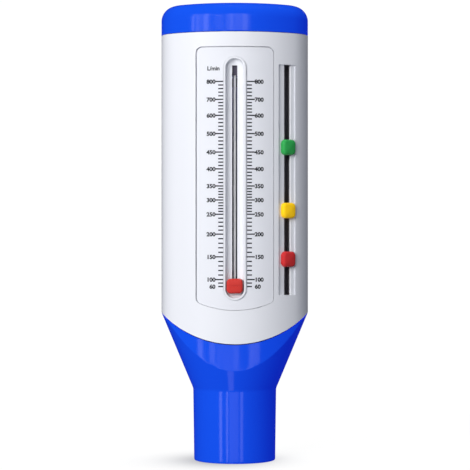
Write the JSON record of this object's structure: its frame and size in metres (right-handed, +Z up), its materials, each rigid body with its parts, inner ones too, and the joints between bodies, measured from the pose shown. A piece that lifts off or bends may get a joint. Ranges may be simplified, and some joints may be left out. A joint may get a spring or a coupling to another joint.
{
  "type": "peak flow meter",
  "caption": "Hand-held peak flow meter: oval case with a slotted scale, sliding pointer and zone markers, a round mouthpiece at its foot and a sprung piston inside.",
  "frame": {"origin": "centre of the mouthpiece's open end", "axes": "+Z up the case from the mouthpiece to the cap, -Y towards the reader, +X to the reader's right, where the markers are"},
  "size_m": [0.0535, 0.0377, 0.1655],
  "materials": {
    "white_case": "smooth, lightly glossy moulding",
    "blue_gloss": "high gloss moulding",
    "label_film": "printed satin film",
    "inner_grey": "plain moulding",
    "black_plastic": "matt moulding",
    "black_rubber": "matt rubber",
    "bright_steel": "polished",
    "spring_steel": "drawn wire",
    "scale_ink": "printed",
    "nylon": "natural nylon",
    "pointer_red": "satin moulding",
    "marker_green": "satin moulding",
    "marker_yellow": "satin moulding",
    "marker_red": "satin moulding"
  },
  "bodies": {
    "case": {"barrel": "white_case", "top_cap": "blue_gloss", "mouthpiece_funnel": "blue_gloss", "scale_label": "label_film", "flow_tube": "inner_grey", "seal_ring": "black_rubber", "rod_spider": "inner_grey", "rod_bridge": "inner_grey", "guide_rod": "bright_steel", "rod_clip": "spring_steel", "lower_buffer": "black_rubber", "upper_buffer": "black_rubber", "piston_spring": "spring_steel", "guide_wire": "bright_steel", "wire_foot": "black_plastic", "wire_buffer": "black_rubber", "marker_track": "black_plastic"},
    "piston": {"piston": "inner_grey", "piston_bush": "nylon"},
    "pointer": {"pointer_carriage": "black_plastic", "pointer_knob": "pointer_red"},
    "green": {"green_marker": "marker_green", "green_marker_clip": "black_plastic"},
    "yellow": {"yellow_marker": "marker_yellow", "yellow_marker_clip": "black_plastic"},
    "red": {"red_marker": "marker_red", "red_marker_clip": "black_plastic"}
  },
  "joints": [
    {"name": "piston_slide", "type": "slide", "parent": "case", "child": "piston", "axis": [0, 0, 1], "range_m": [0, 0.0734], "stiffness_N_per_m": 12, "springref_m": -0.004, "deforming": ["piston_spring"]},
    {"name": "pointer_slide", "type": "slide", "parent": "case", "child": "pointer", "axis": [0, 0, 1], "range_m": [0, 0.0734]},
    {"name": "green_marker_slide", "type": "slide", "parent": "case", "child": "green", "axis": [0, 0, 1], "range_m": [-0.0084, 0.0268]},
    {"name": "yellow_marker_slide", "type": "slide", "parent": "case", "child": "yellow", "axis": [0, 0, 1], "range_m": [-0.0058, 0.0084]},
    {"name": "red_marker_slide", "type": "slide", "parent": "case", "child": "red", "axis": [0, 0, 1], "range_m": [-0.01, 0.0058]}
  ],
  "couplings": [
    {"joint": "pointer_slide", "follows": "piston_slide", "ratio": 1}
  ]
}
